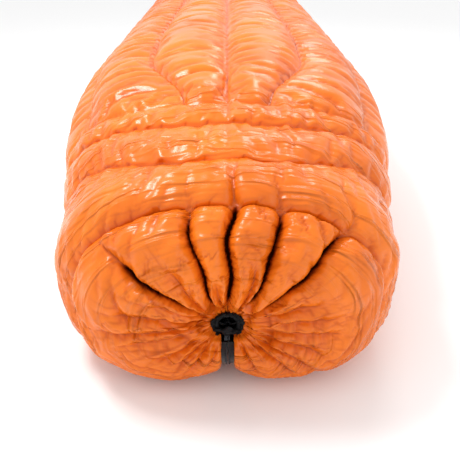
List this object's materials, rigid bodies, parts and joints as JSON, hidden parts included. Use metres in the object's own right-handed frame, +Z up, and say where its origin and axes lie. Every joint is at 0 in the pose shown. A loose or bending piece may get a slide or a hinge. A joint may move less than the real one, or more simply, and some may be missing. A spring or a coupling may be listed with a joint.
{
  "type": "camp quilt",
  "caption": "Down camp quilt with a drawn-shut foot box, a short underside zipper, sewn baffle chambers and an open back and neck.",
  "frame": {"origin": "on the ground under the middle of the quilt's bounding box", "axes": "+Z up, -Y towards the closed foot end, +Y towards the neck, +X to the right seen from the foot"},
  "size_m": [0.596, 1.8634, 0.332],
  "materials": {
    "shell_nylon": "glossy orange nylon taffeta, light crumples and puckers at every seam",
    "liner_nylon": "matt black nylon taffeta",
    "down_fill": "loose white down",
    "baffle_mesh": "fine grey mesh",
    "webbing": "black woven binding and grosgrain",
    "zip_tape": "black woven zipper tape",
    "zip_coil": "black polyester coil",
    "dark_metal": "black enamelled die casting",
    "elastic_cord": "black braided elastic cord",
    "spring_steel": "bare wire",
    "moulded_plastic": "black acetal"
  },
  "bodies": {
    "quilt": {"binding_left": "webbing", "binding_right": "webbing", "cord_bell": "moulded_plastic", "down_centre_left": "down_fill", "down_centre_right": "down_fill", "down_edge_left": "down_fill", "down_edge_right": "down_fill", "down_end": "down_fill", "down_flank_left": "down_fill", "down_flank_right": "down_fill", "down_neck": "down_fill", "down_ring_1": "down_fill", "down_ring_2": "down_fill", "down_ring_3": "down_fill", "down_side_left": "down_fill", "down_side_right": "down_fill", "draft_tube": "liner_nylon", "foot_cord": "elastic_cord", "foot_hem": "liner_nylon", "liner_body": "liner_nylon", "liner_foot_end": "liner_nylon", "neck_hem": "liner_nylon", "pad_loop_left_1": "webbing", "pad_loop_left_2": "webbing", "pad_loop_right_1": "webbing", "pad_loop_right_2": "webbing", "shell_body": "shell_nylon", "shell_foot_end": "shell_nylon", "snap_socket": "dark_metal", "snap_stud": "dark_metal", "wall_centre": "baffle_mesh", "wall_foot_end": "baffle_mesh", "wall_inner_left": "baffle_mesh", "wall_inner_right": "baffle_mesh", "wall_neck": "baffle_mesh", "wall_outer_left": "baffle_mesh", "wall_outer_right": "baffle_mesh", "wall_ring_1": "baffle_mesh", "wall_ring_2": "baffle_mesh", "wall_ring_3": "baffle_mesh", "wall_side_left": "baffle_mesh", "wall_side_right": "baffle_mesh", "zip_box": "dark_metal", "zip_coil_left": "zip_coil", "zip_coil_right": "zip_coil", "zip_pin": "dark_metal", "zip_stop_left": "dark_metal", "zip_stop_right": "dark_metal", "zip_tape_left": "zip_tape", "zip_tape_right": "zip_tape"},
    "slider": {"zip_slider": "dark_metal"},
    "pull": {"zip_pull": "dark_metal"},
    "lock": {"lock_barrel": "moulded_plastic", "lock_spring": "spring_steel"},
    "plunger": {"lock_plunger": "moulded_plastic"}
  },
  "joints": [
    {"name": "zip_slide", "type": "slide", "parent": "quilt", "child": "slider", "axis": [0, -1, 0], "range_m": [0, 0.27]},
    {"name": "pull_hinge", "type": "hinge", "parent": "slider", "child": "pull", "pos_m": [0, -0.47745, 0.0072], "axis": [-1, 0, 0], "range_deg": [0, 160]},
    {"name": "lock_slide", "type": "slide", "parent": "quilt", "child": "lock", "axis": [0, 1, 0], "range_m": [0, 0.016]},
    {"name": "plunger_press", "type": "slide", "parent": "lock", "child": "plunger", "axis": [0, 0, -1], "range_m": [0, 0.003], "stiffness_N_per_m": 500, "springref_m": -0.002, "deforming": ["lock_spring"]}
  ]
}
